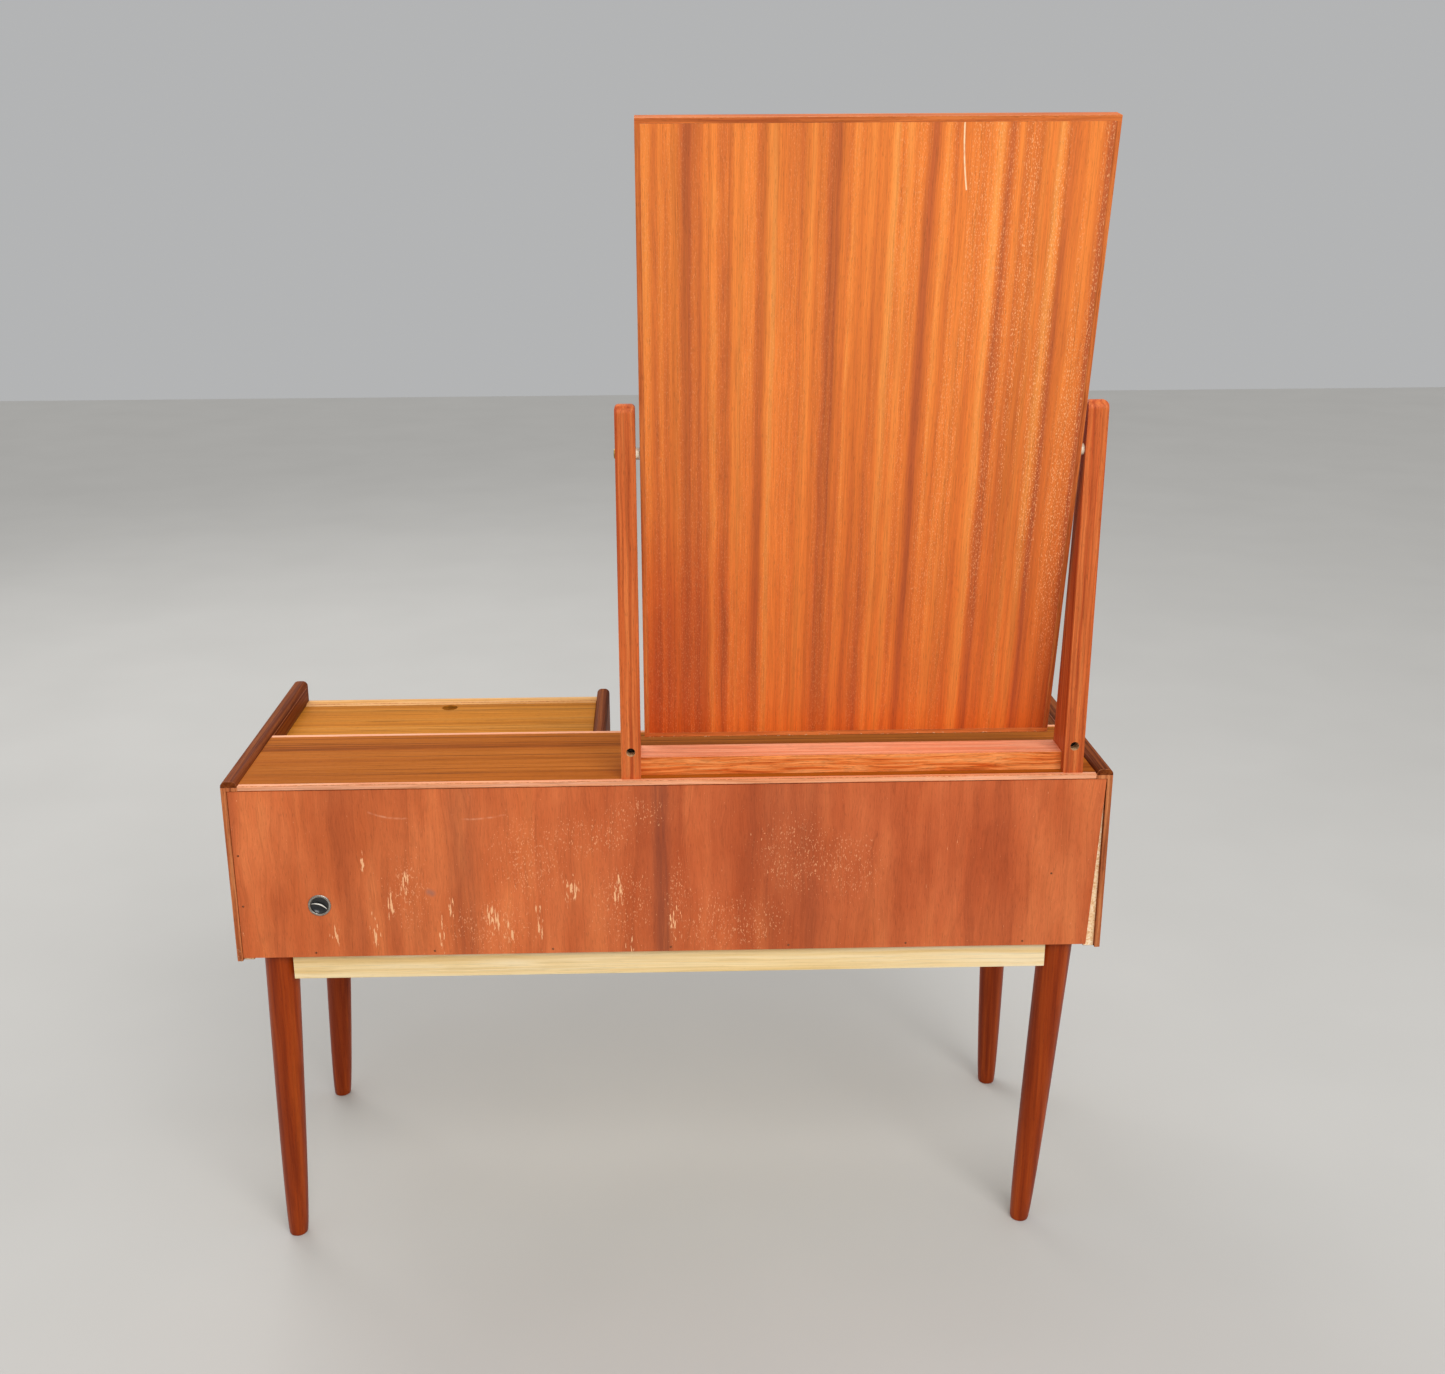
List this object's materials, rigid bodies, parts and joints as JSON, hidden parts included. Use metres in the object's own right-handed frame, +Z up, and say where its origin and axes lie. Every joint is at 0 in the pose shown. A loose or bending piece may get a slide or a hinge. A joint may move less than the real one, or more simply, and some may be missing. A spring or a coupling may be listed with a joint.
{
  "type": "vanity table with mirror",
  "caption": "Low vanity table on turned legs, with a tilting mirror between two posts, a rear shelf, drawers and a lidded compartment.",
  "frame": {"origin": "on the floor, under the middle of the bounding box with the mirror leaning back", "axes": "+Z up, the front with the drawers faces -Y, the lidded bank is on the +X side"},
  "size_m": [1.1, 0.4872, 1.4339],
  "materials": {
    "end_veneer": "oiled dark teak veneer",
    "dark_solid": "oiled solid teak",
    "top_veneer": "golden teak veneer, satin",
    "top_lipping": "solid teak strip, satin",
    "back_veneer": "worn orange veneer",
    "front_veneer": "teak veneer, satin",
    "pale_wood": "bare pine",
    "post_wood": "reddish solid teak, satin",
    "leg_wood": "dark stained beech, satin",
    "mirror_veneer": "ribbon-striped veneer, gloss",
    "mirror_edge": "solid strip, gloss",
    "silvered_glass": "silvered glass",
    "brass": "dull brass",
    "zinc_steel": "zinc plated",
    "cap_plastic": "matt black",
    "spacer_plastic": "off-white"
  },
  "bodies": {
    "case": {"left_end_panel": "end_veneer", "right_end_panel": "end_veneer", "left_end_lipping": "dark_solid", "right_end_lipping": "dark_solid", "rear_shelf": "top_veneer", "shelf_back_lipping": "top_lipping", "shelf_front_lipping": "top_lipping", "divider": "end_veneer", "divider_lipping": "dark_solid", "table_top": "top_veneer", "table_top_lipping": "top_lipping", "bottom_board": "pale_wood", "bottom_lipping": "dark_solid", "back_panel": "back_veneer", "back_panel_pins": "zinc_steel", "back_hole_cap": "cap_plastic", "compartment_back": "pale_wood", "compartment_floor": "pale_wood", "fascia": "front_veneer", "fascia_lipping": "top_lipping", "lid_rests": "pale_wood", "drawer_runners": "pale_wood", "left_post": "post_wood", "right_post": "post_wood", "post_rail": "post_wood", "rail_dowels": "pale_wood", "post_bolts": "zinc_steel", "post_barrel_nuts": "zinc_steel", "pivot_screws": "brass", "pivot_spacers": "spacer_plastic", "frame_rear_rail": "pale_wood", "frame_front_rail": "pale_wood", "frame_side_rails": "pale_wood", "corner_blocks": "pale_wood", "frame_screws": "zinc_steel", "leg_bolts": "zinc_steel", "back_left_leg": "leg_wood", "back_right_leg": "leg_wood", "front_left_leg": "leg_wood", "front_right_leg": "leg_wood", "hinge_fixed_leaf": "brass", "hinge_pin": "brass"},
    "mirror": {"mirror_board": "mirror_veneer", "mirror_lippings": "mirror_edge", "mirror_glass": "silvered_glass", "pivot_inserts": "brass"},
    "lid": {"lid_panel": "top_veneer", "lid_lipping": "top_lipping", "hinge_lid_leaf": "brass"},
    "small_drawer": {"small_drawer_front": "front_veneer", "small_drawer_sides": "pale_wood", "small_drawer_back": "pale_wood", "small_drawer_bottom": "pale_wood", "small_drawer_knob": "dark_solid"},
    "wide_drawer": {"wide_drawer_front": "front_veneer", "wide_drawer_sides": "pale_wood", "wide_drawer_back": "pale_wood", "wide_drawer_bottom": "pale_wood", "wide_drawer_knobs": "dark_solid"}
  },
  "joints": [
    {"name": "mirror_tilt", "type": "hinge", "parent": "case", "child": "mirror", "pos_m": [-0.227, 0.16542, 1.065], "axis": [1, 0, 0], "range_deg": [-30, 40]},
    {"name": "lid_hinge", "type": "hinge", "parent": "case", "child": "lid", "pos_m": [0.31575, -0.00458, 0.6406], "axis": [-1, 0, 0], "range_deg": [0, 90]},
    {"name": "small_drawer_slide", "type": "slide", "parent": "case", "child": "small_drawer", "axis": [0, -1, 0], "range_m": [0, 0.26]},
    {"name": "wide_drawer_slide", "type": "slide", "parent": "case", "child": "wide_drawer", "axis": [0, -1, 0], "range_m": [0, 0.26]}
  ]
}
